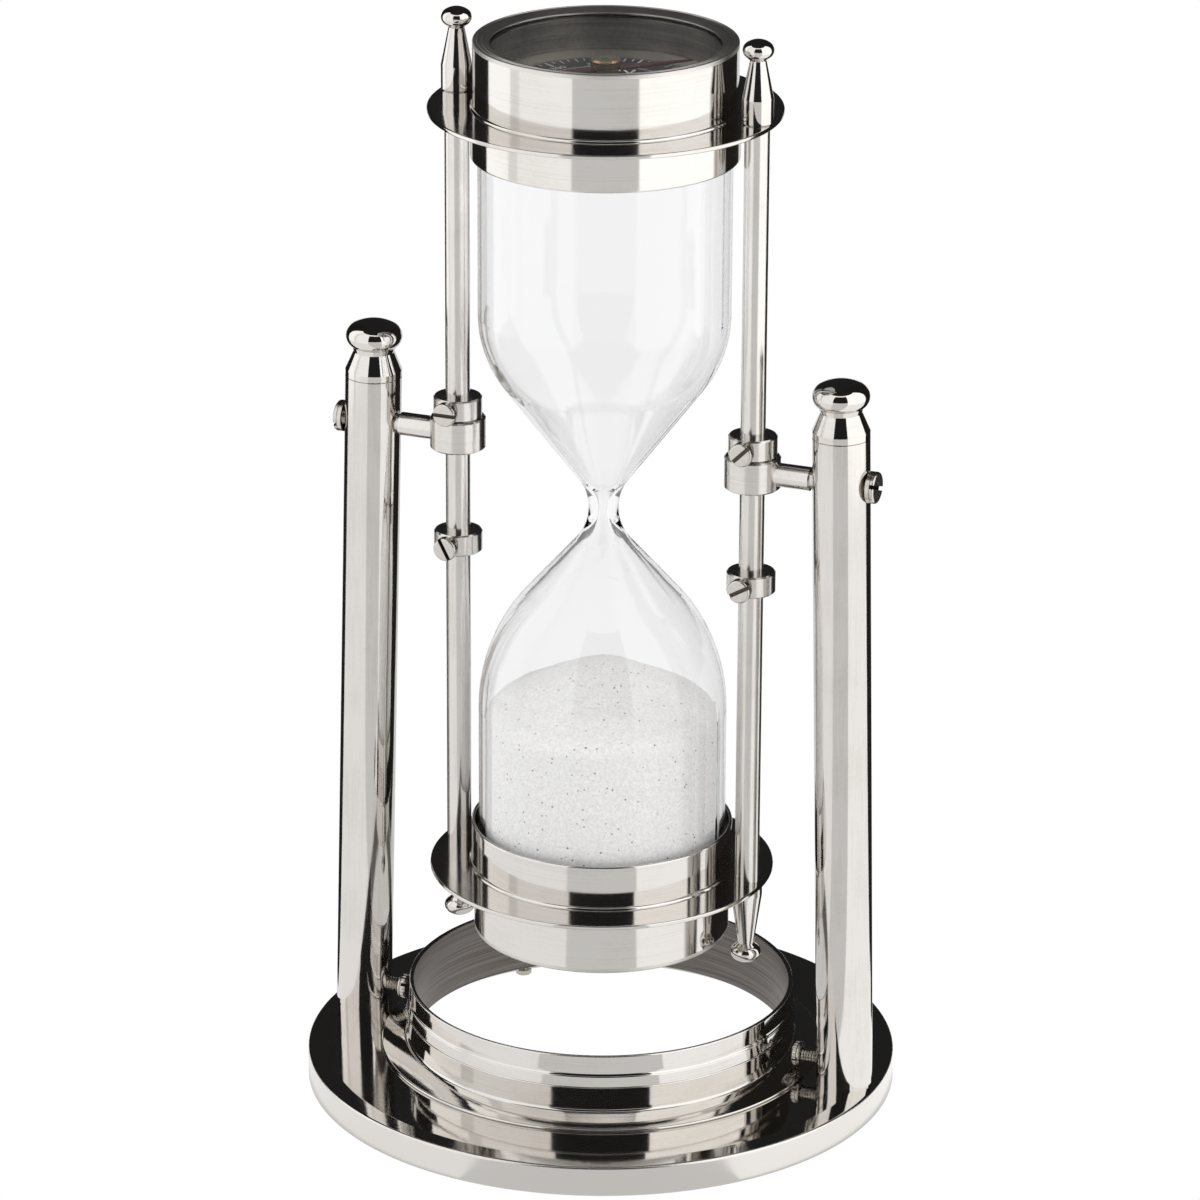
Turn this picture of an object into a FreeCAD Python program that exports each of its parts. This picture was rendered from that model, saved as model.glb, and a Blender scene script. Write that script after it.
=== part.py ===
import FreeCAD, Part
import math
import os

# Swinging sand timer with a compass in each end cap.
# Millimetres. +Z up, origin at the centre of the base's underside.
# The two posts stand on the X axis and the front is -Y.

V = FreeCAD.Vector

# ---- driving dimensions -------------------------------------------------
# base: a pressed dish with a turned collar on top
BASE_R = 82.5
BASE_H = 9.0
SHEET = 2.0
BASE_HOLE_R = 56.0
EDGE_ROLL_W = 5.0
EDGE_ROLL_H = 0.4
COLLAR_BORE_R = 52.7
COLLAR_TOP_R = 53.9
COLLAR_MID_R = 54.5
COLLAR_FOOT_R = 61.4
COLLAR_FOOT_H = 0.8
COLLAR_FILLET = 0.9
COLLAR_WALL_Z = 12.6
COLLAR_STEP_Z = 19.2
COLLAR_FLARE_Z = 23.3
COLLAR_TOP_Z = 28.2
COLLAR_SCREW_R = 57.0
COLLAR_SCREW_DEGS = (45, 135, 225, 315)

# posts lean outward toward the foot
POST_FOOT_X = 73.0
POST_LEAN = 1.4
POST_R = 7.85
POST_WALL = 1.5
POST_LEN = 188.5
SET_SCREW_Z = 14.7
SET_SCREW_R = 2.0
THREAD_PITCH = 0.8

# swinging parts
PIVOT_Z = 184.5
ROD_X = 43.2
ROD_R = 3.4
RUNNING_FIT = 0.05
SLEEVE_R = 7.7
SLEEVE_H = 9.0
ARM_R = 3.25
ARM_END_X = 60.0
PIVOT_SHANK_R = 2.5
STOP_R = 6.7
STOP_H = 6.0

# cage: everything is symmetric about its middle height
MIDDLE_Z = 172.5
FLANGE_R = 47.8
FLANGE_T = 1.2
FLANGE_OUT = 109.5
CASE_R = 35.6
CASE_BORE_R = 31.1
CASE_H = 17.0
CASE_FLOOR = 2.0
FOOT_BEAD = 0.7
CASE_SCREW_R = 20.0
CASE_SCREW_DEGS = (90, 210, 330)
BEZEL_T = 1.2
DIAL_SEAT_H = 3.7
DIAL_T = 1.0
LENS_R = 33.0
LENS_T = 1.6
PIN_R = 0.55
HUB_LOW = 6.3
HUB_TOP = 12.1
NEEDLE_H = 8.9
PIN_TOP = 10.7
NEEDLE_DEG = 43.0
NEEDLE_LEN = 25.0
CUP_R = 36.3
CUP_WALL = 1.0
CUP_DEPTH = 12.5
PAD_T = 1.5
THREAD_R = 2.0
UPPER_FINIAL_FOOT = 6.8
LOWER_FINIAL_FOOT = 2.4

# glass and sand
NECK_DROP = 4.2
GLASS_R = 34.3
GLASS_WALL = 1.6
NECK_R = 4.1
NECK_BORE_R = 1.1
NECK_BLEND = 14.0
UPPER_SHOULDER = 33.0
UPPER_CONE_DEG = 37.2
LOWER_SHOULDER = 50.0
LOWER_CONE_DEG = 41.5
END_CORNER = 8.0
FILL_HOLE_R = 5.0
SAND_GAP = 0.5
SAND_PEAK_Z = 123.8
SAND_SLOPE_DEG = 27.0

# ---- derived sizes ------------------------------------------------------
CAP_FACE_Z = MIDDLE_Z + FLANGE_OUT
STOP_UPPER_Z = PIVOT_Z + SLEEVE_H / 2 + STOP_H / 2
STOP_LOWER_Z = 2 * MIDDLE_Z - STOP_UPPER_Z
NECK_Z = MIDDLE_Z - NECK_DROP
GLASS_END = FLANGE_OUT - FLANGE_T - CUP_WALL - PAD_T


# ---- shape helpers ------------------------------------------------------
def lathe(path):
    """Solid turned about Z from a closed (r, z) outline.

    A step of two numbers is a straight line to (r, z). A step of four is an
    arc through (r, z) to (r, z).
    """
    start = V(path[0][0], 0, path[0][1])
    here = start
    edges = []
    for step in list(path[1:]) + [path[0]]:
        end = V(step[-2], 0, step[-1])
        if end.distanceToPoint(here) < 1e-6:
            continue
        if len(step) == 4:
            edges.append(Part.Arc(here, V(step[0], 0, step[1]), end).toShape())
        else:
            edges.append(Part.makeLine(here, end))
        here = end
    face = Part.Face(Part.Wire(edges))
    return face.revolve(V(0, 0, 0), V(0, 0, 1), 360)


def rod(radius, z0, z1, x=0.0, y=0.0):
    return Part.makeCylinder(radius, z1 - z0, V(x, y, z0))


def bar_x(radius, x0, x1, z, y=0.0):
    """Round bar along X from x0 to x1."""
    low, high = min(x0, x1), max(x0, x1)
    return Part.makeCylinder(radius, high - low, V(low, y, z), V(1, 0, 0))


def pointed(shape, at, direction):
    """Turn a shape built along +Z to a direction and move it to a point."""
    out = shape.copy()
    turn = FreeCAD.Rotation(V(0, 0, 1), direction)
    out.Placement = FreeCAD.Placement(at, turn)
    return out


def mirrored_cap(shape):
    """The same piece in the other end cap."""
    return shape.mirror(V(0, 0, MIDDLE_Z), V(0, 0, 1))


def polar(radius, deg, z=0.0):
    a = math.radians(deg)
    return V(radius * math.cos(a), radius * math.sin(a), z)


def around_arc(centre_r, centre_z, radius, deg):
    """Point of a circle in the (r, z) plane."""
    a = math.radians(deg)
    return centre_r + radius * math.cos(a), centre_z + radius * math.sin(a)


def button(r_max, z_mid, edge_r, crown_deg):
    """Outline of a flattened ball: lower flank, rounded edge, domed crown."""
    hub = r_max - edge_r
    low = around_arc(hub, z_mid, edge_r, -60)
    crown = around_arc(hub, z_mid, edge_r, crown_deg)
    dome_r = crown[0] / math.cos(math.radians(crown_deg))
    dome_z = crown[1] - dome_r * math.sin(math.radians(crown_deg))
    half = around_arc(0, dome_z, dome_r, (90 + crown_deg) / 2)
    return [low, (r_max, z_mid) + crown, half + (0, dome_z + dome_r)]


def slotted_screw(head_r, head_h, shank_r, length, slot_w, slot_deg):
    """Cheese-head screw: head from z = 0 up, shank down to -length."""
    soft = min(0.6, head_h / 3)
    corner = around_arc(head_r - soft, head_h - soft, soft, 45)
    body = lathe([
        (0, -length), (shank_r - 0.3, -length), (shank_r, -length + 0.3), (shank_r, 0),
        (head_r, 0), (head_r, head_h - soft), corner + (head_r - soft, head_h), (0, head_h),
    ])
    slot = Part.makeBox(3 * head_r, slot_w, head_h, V(-1.5 * head_r, -slot_w / 2, head_h * 0.5))
    slot.rotate(V(0, 0, 0), V(0, 0, 1), slot_deg)
    return body.cut(slot)


# ---- stand --------------------------------------------------------------
def base_plate():
    soft = 0.8
    edge_z = BASE_H - EDGE_ROLL_H
    corner = around_arc(BASE_R - soft, edge_z - soft, soft, 45)
    plate = lathe([
        (BASE_HOLE_R, BASE_H), (BASE_R - EDGE_ROLL_W, BASE_H), (BASE_R - soft, edge_z),
        corner + (BASE_R, edge_z - soft), (BASE_R, 0.3), (BASE_R - 0.3, 0),
        (BASE_R - SHEET, 0), (BASE_R - SHEET, BASE_H - SHEET), (BASE_HOLE_R, BASE_H - SHEET),
    ])
    for side in (-1, 1):
        plate = plate.cut(rod(2.5, 0, BASE_H + 1, x=side * POST_FOOT_X))
    for deg in COLLAR_SCREW_DEGS:
        at = polar(COLLAR_SCREW_R, deg)
        plate = plate.cut(rod(1.3, 0, BASE_H + 1, at.x, at.y))
    return plate


def base_collar():
    fillet = COLLAR_FILLET
    fillet_mid = around_arc(COLLAR_MID_R + fillet, COLLAR_WALL_Z, fillet, 225)
    foot_z = BASE_H + COLLAR_FOOT_H
    foot_mid = around_arc(COLLAR_FOOT_R, BASE_H + COLLAR_FOOT_H / 2, COLLAR_FOOT_H / 2, 0)
    flare = (COLLAR_MID_R - COLLAR_TOP_R - 0.1) / (COLLAR_FLARE_Z - COLLAR_STEP_Z)
    lip = 0.35
    lip_mid = around_arc(COLLAR_TOP_R - lip, COLLAR_TOP_Z - lip, lip, 45)
    grooves = []
    for z in (COLLAR_FLARE_Z - 0.5, COLLAR_FLARE_Z - 1.2):
        r = COLLAR_TOP_R + (COLLAR_FLARE_Z - z) * flare
        grooves = [(r, z - 0.12), (r - 0.12, z), (r, z + 0.12)] + grooves
    ring = lathe([
        (COLLAR_BORE_R, BASE_H), (COLLAR_FOOT_R, BASE_H), foot_mid + (COLLAR_FOOT_R, foot_z),
        (COLLAR_MID_R + fillet, COLLAR_WALL_Z - fillet),
        fillet_mid + (COLLAR_MID_R, COLLAR_WALL_Z), (COLLAR_MID_R, COLLAR_STEP_Z - 0.5),
        (COLLAR_MID_R + 0.25, COLLAR_STEP_Z - 0.25, COLLAR_MID_R, COLLAR_STEP_Z),
        (COLLAR_MID_R - 0.1, COLLAR_STEP_Z),
    ] + grooves + [
        (COLLAR_TOP_R, COLLAR_FLARE_Z), (COLLAR_TOP_R, COLLAR_TOP_Z - lip),
        lip_mid + (COLLAR_TOP_R - lip, COLLAR_TOP_Z),
        (COLLAR_BORE_R + 0.4, COLLAR_TOP_Z), (COLLAR_BORE_R, COLLAR_TOP_Z - 0.4),
    ])
    for deg in COLLAR_SCREW_DEGS:
        at = polar(COLLAR_SCREW_R, deg)
        ring = ring.cut(rod(1.25, BASE_H - 1, BASE_H + 1.3, at.x, at.y))
    return ring


def collar_screws():
    screw = slotted_screw(2.3, 1.5, 1.25, 3.1, 0.7, 0)
    seat = BASE_H - SHEET
    return Part.makeCompound([
        pointed(screw, polar(COLLAR_SCREW_R, deg, seat), V(0, 0, -1)) for deg in COLLAR_SCREW_DEGS
    ])


def leaned(shape, side):
    """Stand a shape built on the Z axis on a post's foot and lean it inward at the top."""
    out = shape.copy()
    out.rotate(V(0, 0, 0), V(0, 1, 0), -side * POST_LEAN)
    out.translate(V(side * POST_FOOT_X, 0, BASE_H))
    return out


def post_axis_x(z):
    return POST_FOOT_X - (z - BASE_H) * math.tan(math.radians(POST_LEAN))


def post(side, plate):
    inner = POST_R - POST_WALL
    tube = leaned(rod(POST_R, -1, POST_LEN).cut(rod(inner, -2, POST_LEN + 1)), side)
    under = Part.makeBox(60, 60, BASE_H, V(side * POST_FOOT_X - 30, -30, -0.5))
    tube = tube.cut(under).cut(plate)
    x = side * post_axis_x(PIVOT_Z)
    tube = tube.cut(bar_x(PIVOT_SHANK_R + RUNNING_FIT, x - 12, x + 12, PIVOT_Z))
    return tube.cut(bar_x(2.0, side * (POST_FOOT_X - 12), side * POST_FOOT_X, SET_SCREW_Z))


def post_plug(side):
    plug = leaned(rod(POST_R - POST_WALL - 0.05, -1, 15), side)
    under = Part.makeBox(60, 60, BASE_H, V(side * POST_FOOT_X - 30, -30, 0))
    return plug.cut(under).cut(rod(2.4, 0, BASE_H + 11, x=side * POST_FOOT_X))


def post_foot_screws():
    screw = slotted_screw(4.5, 2.8, 2.4, 12.0, 1.1, 20)
    seat = BASE_H - SHEET
    return Part.makeCompound([
        pointed(screw, V(side * POST_FOOT_X, 0, seat), V(0, 0, -1)) for side in (-1, 1)
    ])


def thread_rings(shank_r, length):
    """Ridges down a screw's shank, as an outline from the tip up to the head."""
    outline = []
    turns = int(length / THREAD_PITCH)
    for turn in range(turns, 0, -1):
        z = -turn * THREAD_PITCH
        outline += [(shank_r - 0.35, z), (shank_r, z + THREAD_PITCH / 2)]
    return outline


def post_set_screw(side):
    """Thumb screw with a coin edge; its threaded end bites into the post's plug."""
    head_r, head_h = 3.4, 2.3
    head_at = POST_FOOT_X - (11.5 if side < 0 else 12.6)
    tip_at = post_axis_x(SET_SCREW_Z) - POST_R + POST_WALL - 0.1
    length = tip_at - head_at
    body = lathe([(0, -length), (SET_SCREW_R - 0.5, -length)] + thread_rings(SET_SCREW_R, length - 0.3) + [
        (SET_SCREW_R - 0.35, 0), (head_r - 0.3, 0), (head_r, 0.3), (head_r, 0.6), (head_r - 0.3, 0.8),
        (head_r, 1.0), (head_r, head_h - 0.5), (head_r - 0.5, head_h), (0, head_h),
    ])
    slot_deg = 60 if side < 0 else 35
    slot = Part.makeBox(3 * head_r, 0.9, head_h, V(-1.5 * head_r, -0.45, head_h * 0.5))
    slot.rotate(V(0, 0, 0), V(0, 0, 1), slot_deg)
    notches = []
    for notch in range(20):
        at = polar(head_r + 0.12, notch * 18)
        notches.append(rod(0.3, 0.9, head_h + 1, at.x, at.y))
    screw = body.cut(slot).cut(Part.makeCompound(notches))
    return pointed(screw, V(side * head_at, 0, SET_SCREW_Z), V(-side, 0, 0))


def post_cap(side):
    base = POST_LEN
    knob = button(7.8, base + 11.6, 3.5, 62)
    cap = lathe([
        (0, base - 8), (POST_R - POST_WALL - 0.05, base - 8), (POST_R - POST_WALL - 0.05, base),
        (POST_R - 0.2, base), (POST_R, base + 0.3), (POST_R, base + 2.0), (5.65, base + 7.2),
    ] + knob)
    return leaned(cap, side)


# ---- pivots -------------------------------------------------------------
def trunnion(side):
    """Sleeve that slides on the rod, with the arm that the pivot screw holds."""
    half = SLEEVE_H / 2
    soft = 0.4
    sleeve = lathe([
        (0, -half), (SLEEVE_R - soft, -half), (SLEEVE_R, -half + soft), (SLEEVE_R, half - soft),
        (SLEEVE_R - soft, half), (0, half),
    ])
    sleeve.translate(V(side * ROD_X, 0, PIVOT_Z))
    arm = bar_x(ARM_R, side * ROD_X, side * ARM_END_X, PIVOT_Z)
    solid = sleeve.fuse(arm).removeSplitter()
    solid = solid.cut(rod(ROD_R + RUNNING_FIT, PIVOT_Z - half - 1, PIVOT_Z + half + 1, x=side * ROD_X))
    return solid.cut(bar_x(PIVOT_SHANK_R, side * (ARM_END_X - 7.5), side * (ARM_END_X + 1), PIVOT_Z))


def pivot_screw(side):
    under_head = post_axis_x(PIVOT_Z) + POST_R + 0.15
    length = under_head - (ARM_END_X - 7.5)
    screw = slotted_screw(4.35, 2.4, PIVOT_SHANK_R, length, 1.1, 70)
    return pointed(screw, V(side * under_head, 0, PIVOT_Z), V(side, 0, 0))


# ---- cage frame ---------------------------------------------------------
def cage_rod(side):
    shoulder = FLANGE_OUT - FLANGE_T
    bar = rod(ROD_R, MIDDLE_Z - shoulder, MIDDLE_Z + shoulder)
    thread = rod(THREAD_R, MIDDLE_Z - FLANGE_OUT - 6, MIDDLE_Z + FLANGE_OUT + 6)
    solid = bar.fuse(thread).removeSplitter()
    solid.translate(V(side * ROD_X, 0, 0))
    return solid


def stop_collar(side, z):
    half = STOP_H / 2
    soft = 0.4
    ring = lathe([
        (ROD_R, -half), (STOP_R - soft, -half), (STOP_R, -half + soft), (STOP_R, half - soft),
        (STOP_R - soft, half), (ROD_R, half),
    ])
    ring = ring.cut(pointed(rod(1.5, 0, STOP_R + 2), V(0, 0, 0), V(0, -1, 0)))
    ring.translate(V(side * ROD_X, 0, z))
    return ring


def stop_screw(side, z, slot_deg):
    head_at = SLEEVE_R + 0.25
    screw = slotted_screw(3.3, 2.2, 1.5, head_at - ROD_R, 1.1, slot_deg)
    return pointed(screw, V(side * ROD_X, -head_at, z), V(0, -1, 0))


def finial(side, foot_h):
    """Ball-and-cone nut on the threaded end of a rod."""
    foot_r = 4.3
    knob = button(4.2, CAP_FACE_Z + 19.9, 2.3, 55)
    solid = lathe([
        (0, CAP_FACE_Z), (foot_r - 0.3, CAP_FACE_Z), (foot_r, CAP_FACE_Z + 0.35),
        (foot_r, CAP_FACE_Z + foot_h), (2.2, CAP_FACE_Z + 17.1),
    ] + knob)
    solid = solid.cut(rod(THREAD_R, CAP_FACE_Z - 1, CAP_FACE_Z + 6.2))
    solid.translate(V(side * ROD_X, 0, 0))
    return solid


def flange():
    low = CAP_FACE_Z - FLANGE_T
    soft = 0.35
    disc = lathe([
        (0, low), (FLANGE_R - soft, low), (FLANGE_R, low + soft), (FLANGE_R, CAP_FACE_Z - soft),
        (FLANGE_R - soft, CAP_FACE_Z), (0, CAP_FACE_Z),
    ])
    for side in (-1, 1):
        disc = disc.cut(rod(THREAD_R, low - 1, CAP_FACE_Z + 1, x=side * ROD_X))
    return disc.cut(case_screw_holes(1.6))


def glass_cup():
    """Shallow cup that holds one end of the glass."""
    top = CAP_FACE_Z - FLANGE_T
    low = top - CUP_DEPTH
    lip = CUP_WALL / 2
    bead_mid = around_arc(CUP_R, top, FOOT_BEAD, -45)
    cup = lathe([
        (0, top), (CUP_R + FOOT_BEAD, top), bead_mid + (CUP_R, top - FOOT_BEAD), (CUP_R, low + lip),
        (CUP_R - lip, low, CUP_R - CUP_WALL, low + lip),
        (CUP_R - CUP_WALL, top - CUP_WALL), (0, top - CUP_WALL),
    ])
    return cup.cut(case_screw_holes(1.5))


def seat_pad():
    top = CAP_FACE_Z - FLANGE_T - CUP_WALL
    return rod(CUP_R - CUP_WALL - 0.4, top - PAD_T, top)


# ---- compass ------------------------------------------------------------
def case_screw_holes(radius):
    holes = []
    for deg in CASE_SCREW_DEGS:
        at = polar(CASE_SCREW_R, deg)
        holes.append(rod(radius, CAP_FACE_Z - 4, CAP_FACE_Z + CASE_FLOOR + 0.5, at.x, at.y))
    return Part.makeCompound(holes)


def compass_case():
    z = CAP_FACE_Z
    lens_seat = z + CASE_H - LENS_T
    bead_mid = around_arc(CASE_R, z, FOOT_BEAD, 45)
    case = lathe([
        (0, z), (CASE_R + FOOT_BEAD, z), bead_mid + (CASE_R, z + FOOT_BEAD),
        (CASE_R, z + CASE_H), (LENS_R + 0.05, z + CASE_H),
        (LENS_R + 0.05, lens_seat), (CASE_BORE_R, lens_seat), (CASE_BORE_R, z + DIAL_SEAT_H),
        (CASE_BORE_R - 2.1, z + DIAL_SEAT_H), (CASE_BORE_R - 2.1, z + CASE_FLOOR), (0, z + CASE_FLOOR),
    ])
    return case.cut(case_screw_holes(1.5))


def case_screws():
    screw = slotted_screw(2.7, 1.5, 1.5, CASE_FLOOR + FLANGE_T + CUP_WALL, 0.8, 0)
    seat = CAP_FACE_Z + CASE_FLOOR
    return Part.makeCompound([
        pointed(screw, polar(CASE_SCREW_R, deg, seat), V(0, 0, 1)) for deg in CASE_SCREW_DEGS
    ])


def bezel():
    """Ring over the edge of the lens, dished toward the middle."""
    z = CAP_FACE_Z + CASE_H
    top = z + BEZEL_T
    soft = 0.35
    corner = around_arc(CASE_R - soft, top - soft, soft, 45)
    return lathe([
        (CASE_BORE_R, z), (CASE_R, z), (CASE_R, top - soft), corner + (CASE_R - soft, top),
        (CASE_R - 1.6, top), (CASE_R - 2.0, top - 0.3), (CASE_R - 2.8, top - 0.3),
        (CASE_BORE_R, z + 0.3),
    ])


def lens():
    z = CAP_FACE_Z + CASE_H
    return rod(LENS_R, z - LENS_T, z)


def dial():
    z = CAP_FACE_Z + DIAL_SEAT_H
    return rod(CASE_BORE_R - 0.1, z, z + DIAL_T).cut(rod(PIN_R, z - 1, z + DIAL_T + 1))


def dial_ring():
    """Sloped ring round the dial."""
    z = CAP_FACE_Z + DIAL_SEAT_H + DIAL_T
    outer = CASE_BORE_R - 0.1
    return lathe([(outer - 3.9, z), (outer, z), (outer, z + 1.3), (outer - 0.8, z + 1.3),
                  (outer - 3.9, z + 0.3)])


def pivot_pin():
    """Sharp steel pin that the needle's hub turns on."""
    z = CAP_FACE_Z
    foot = z + DIAL_SEAT_H
    return lathe([
        (0, foot - 1.2), (1.6, foot - 1.2), (1.6, foot), (PIN_R, foot), (PIN_R, z + PIN_TOP - 0.6),
        (0, z + PIN_TOP),
    ])


def needle_hub():
    """Brass spool with a blind bore that drops over the pin."""
    z = CAP_FACE_Z
    spool = lathe([
        (0, z + HUB_LOW), (4.2, z + HUB_LOW), (4.2, z + HUB_LOW + 1.6), (3.5, z + HUB_LOW + 2.0),
        (3.5, z + HUB_TOP - 2.4), (4.2, z + HUB_TOP - 2.0), (4.2, z + HUB_TOP - 0.5),
        (3.7, z + HUB_TOP), (1.6, z + HUB_TOP), (1.2, z + HUB_TOP - 0.3), (0, z + HUB_TOP - 0.3),
    ])
    return spool.cut(rod(PIN_R + RUNNING_FIT, z + HUB_LOW - 1, z + PIN_TOP + 0.1))


def needle(tip_sign):
    """One half of the lozenge needle, from the hub out to its tip."""
    z = CAP_FACE_Z + NEEDLE_H
    root = 3.5
    outline = [V(root, -2.1, z), V(root + 1.5, -2.1, z), V(NEEDLE_LEN, -0.25, z),
               V(NEEDLE_LEN, 0.25, z), V(root + 1.5, 2.1, z), V(root, 2.1, z)]
    blade = Part.Face(Part.makePolygon(outline + outline[:1])).extrude(V(0, 0, 0.5))
    blade = blade.cut(rod(3.5, z - 1, z + 2))
    turn = NEEDLE_DEG if tip_sign > 0 else NEEDLE_DEG + 180
    blade.rotate(V(0, 0, 0), V(0, 0, 1), turn)
    return blade


# ---- glass and sand -----------------------------------------------------
def half_bulb(neck_r, blend_r, inset, up):
    """One bulb as a solid, from the neck out to its closed end."""
    cone_deg = UPPER_CONE_DEG if up else LOWER_CONE_DEG
    wall_r = GLASS_R - inset
    shoulder_r = (UPPER_SHOULDER if up else LOWER_SHOULDER) - inset
    end = GLASS_END + (NECK_DROP if up else -NECK_DROP) - inset
    corner = END_CORNER - inset
    tilt = math.radians(cone_deg)
    sin_t, cos_t, tan_t = math.sin(tilt), math.cos(tilt), math.tan(tilt)
    r1 = neck_r + blend_r * (1 - cos_t)
    d1 = blend_r * sin_t
    r2 = wall_r - shoulder_r * (1 - cos_t)
    d2 = d1 + (r2 - r1) / tan_t
    centre_d = d2 + shoulder_r * sin_t
    neck_mid = around_arc(neck_r + blend_r, 0, blend_r, 180 - cone_deg / 2)
    shoulder_mid = around_arc(wall_r - shoulder_r, centre_d, shoulder_r, -cone_deg / 2)
    end_mid = around_arc(wall_r - corner, end - corner, corner, 45)
    path = [
        (0, 0), (neck_r, 0), neck_mid + (r1, d1), (r2, d2), shoulder_mid + (wall_r, centre_d),
        (wall_r, end - corner), end_mid + (wall_r - corner, end), (0, end),
    ]
    sign = 1 if up else -1
    placed = [tuple(v if i % 2 == 0 else NECK_Z + sign * v for i, v in enumerate(s)) for s in path]
    return lathe(placed)


def bore_blend(cone_deg):
    """Blend radius in the neck's bore that leaves an even wall on the cone."""
    gain = 1 / math.cos(math.radians(cone_deg))
    cone_foot = NECK_R - NECK_BLEND * (gain - 1) - GLASS_WALL * gain
    return (NECK_BORE_R - cone_foot) / (gain - 1)


def glass_bulb():
    """Two bulbs blown as one piece, thick round the narrow neck."""
    outer = half_bulb(NECK_R, NECK_BLEND, 0, False).fuse(half_bulb(NECK_R, NECK_BLEND, 0, True))
    lower = half_bulb(NECK_BORE_R, bore_blend(LOWER_CONE_DEG), GLASS_WALL, False)
    upper = half_bulb(NECK_BORE_R, bore_blend(UPPER_CONE_DEG), GLASS_WALL, True)
    inner = lower.fuse(upper)
    hole = rod(FILL_HOLE_R, MIDDLE_Z + GLASS_END - GLASS_WALL - 1, MIDDLE_Z + GLASS_END + 1)
    return outer.removeSplitter().cut(inner.removeSplitter()).cut(hole)


def glass_stopper():
    top = MIDDLE_Z + GLASS_END
    return lathe([(0, top), (FILL_HOLE_R, top), (FILL_HOLE_R, top - GLASS_WALL),
                  (FILL_HOLE_R - 0.5, top - GLASS_WALL - 3), (0, top - GLASS_WALL - 3)])


def sand():
    """Heap with a blunt peak, as it lies in the lower bulb."""
    r = GLASS_R - GLASS_WALL - SAND_GAP
    low = MIDDLE_Z - GLASS_END + GLASS_WALL
    corner = END_CORNER - GLASS_WALL
    corner_mid = around_arc(r - corner, low + corner, corner, -45)
    slope = math.radians(SAND_SLOPE_DEG)
    peak_r = 9.0
    peak_z = SAND_PEAK_Z - peak_r
    tangent = around_arc(0, peak_z, peak_r, 90 - SAND_SLOPE_DEG)
    crown_mid = around_arc(0, peak_z, peak_r, 90 - SAND_SLOPE_DEG / 2)
    side_z = tangent[1] - (r - tangent[0]) * math.tan(slope)
    return lathe([
        (0, low), (r - corner, low), corner_mid + (r, low + corner), (r, side_z),
        tangent, crown_mid + (0, SAND_PEAK_Z),
    ])


# ---- write every piece --------------------------------------------------
def pieces():
    plate = base_plate()
    out = {
        "base_plate": plate,
        "base_collar": base_collar(),
        "collar_screws": collar_screws(),
        "post_foot_screws": post_foot_screws(),
        "glass_bulb": glass_bulb(),
        "glass_stopper": glass_stopper(),
        "sand": sand(),
    }
    for name, side in (("left", -1), ("right", 1)):
        out["post_" + name] = post(side, plate)
        out["post_plug_" + name] = post_plug(side)
        out["post_set_screw_" + name] = post_set_screw(side)
        out["post_cap_" + name] = post_cap(side)
        out["trunnion_" + name] = trunnion(side)
        out["pivot_screw_" + name] = pivot_screw(side)
        out["rod_" + name] = cage_rod(side)
        out["stop_collar_upper_" + name] = stop_collar(side, STOP_UPPER_Z)
        out["stop_collar_lower_" + name] = stop_collar(side, STOP_LOWER_Z)
        out["stop_screw_upper_" + name] = stop_screw(side, STOP_UPPER_Z, 0 if side < 0 else 45)
        out["stop_screw_lower_" + name] = stop_screw(side, STOP_LOWER_Z, 118 if side < 0 else 30)
        out["finial_upper_" + name] = finial(side, UPPER_FINIAL_FOOT)
        out["finial_lower_" + name] = mirrored_cap(finial(side, LOWER_FINIAL_FOOT))
    cap = {
        "flange": flange(),
        "glass_cup": glass_cup(),
        "seat_pad": seat_pad(),
        "compass_case": compass_case(),
        "case_screws": case_screws(),
        "bezel": bezel(),
        "lens": lens(),
        "dial": dial(),
        "dial_ring": dial_ring(),
        "pivot_pin": pivot_pin(),
        "needle_hub": needle_hub(),
        "needle": Part.makeCompound([needle(1), needle(-1)]),
    }
    for name, shape in cap.items():
        out[name + "_top"] = shape
        out[name + "_bottom"] = mirrored_cap(shape)
    return out


os.makedirs("parts", exist_ok=True)
for node, shape in pieces().items():
    shape.exportStep("parts/" + node + ".step")
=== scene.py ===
import math

import bmesh
import bpy
from mathutils import Matrix, Vector, noise


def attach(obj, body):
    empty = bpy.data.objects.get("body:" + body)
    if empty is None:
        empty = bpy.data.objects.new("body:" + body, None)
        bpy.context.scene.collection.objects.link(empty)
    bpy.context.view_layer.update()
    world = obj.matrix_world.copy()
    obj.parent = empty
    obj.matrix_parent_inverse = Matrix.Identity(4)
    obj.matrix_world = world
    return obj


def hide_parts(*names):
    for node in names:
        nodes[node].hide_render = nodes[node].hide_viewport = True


# Looks for a swinging sand timer with a compass in each end cap.
# Metres, in the CAD frame: +Z up, origin under the base, posts on the X axis.

MM = 0.001
SEED = 7

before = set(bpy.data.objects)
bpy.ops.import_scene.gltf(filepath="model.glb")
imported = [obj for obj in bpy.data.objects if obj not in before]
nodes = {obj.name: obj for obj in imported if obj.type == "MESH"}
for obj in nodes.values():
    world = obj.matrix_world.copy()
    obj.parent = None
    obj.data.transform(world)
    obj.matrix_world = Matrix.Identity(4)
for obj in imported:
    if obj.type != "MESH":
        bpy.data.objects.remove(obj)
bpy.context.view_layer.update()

# ---- camera and studio sizes --------------------------------------------
TARGET = Vector((0, 0, 0.150))
VIEW_DISTANCE = 1.6477
VIEW_YAW = math.radians(21.71)
VIEW_ELEVATION = math.radians(20.29)
VIEW_ROLL = math.radians(0.3)
LENS_MM = 180.2
SHIFT = (-0.0027, -0.0253)

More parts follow.
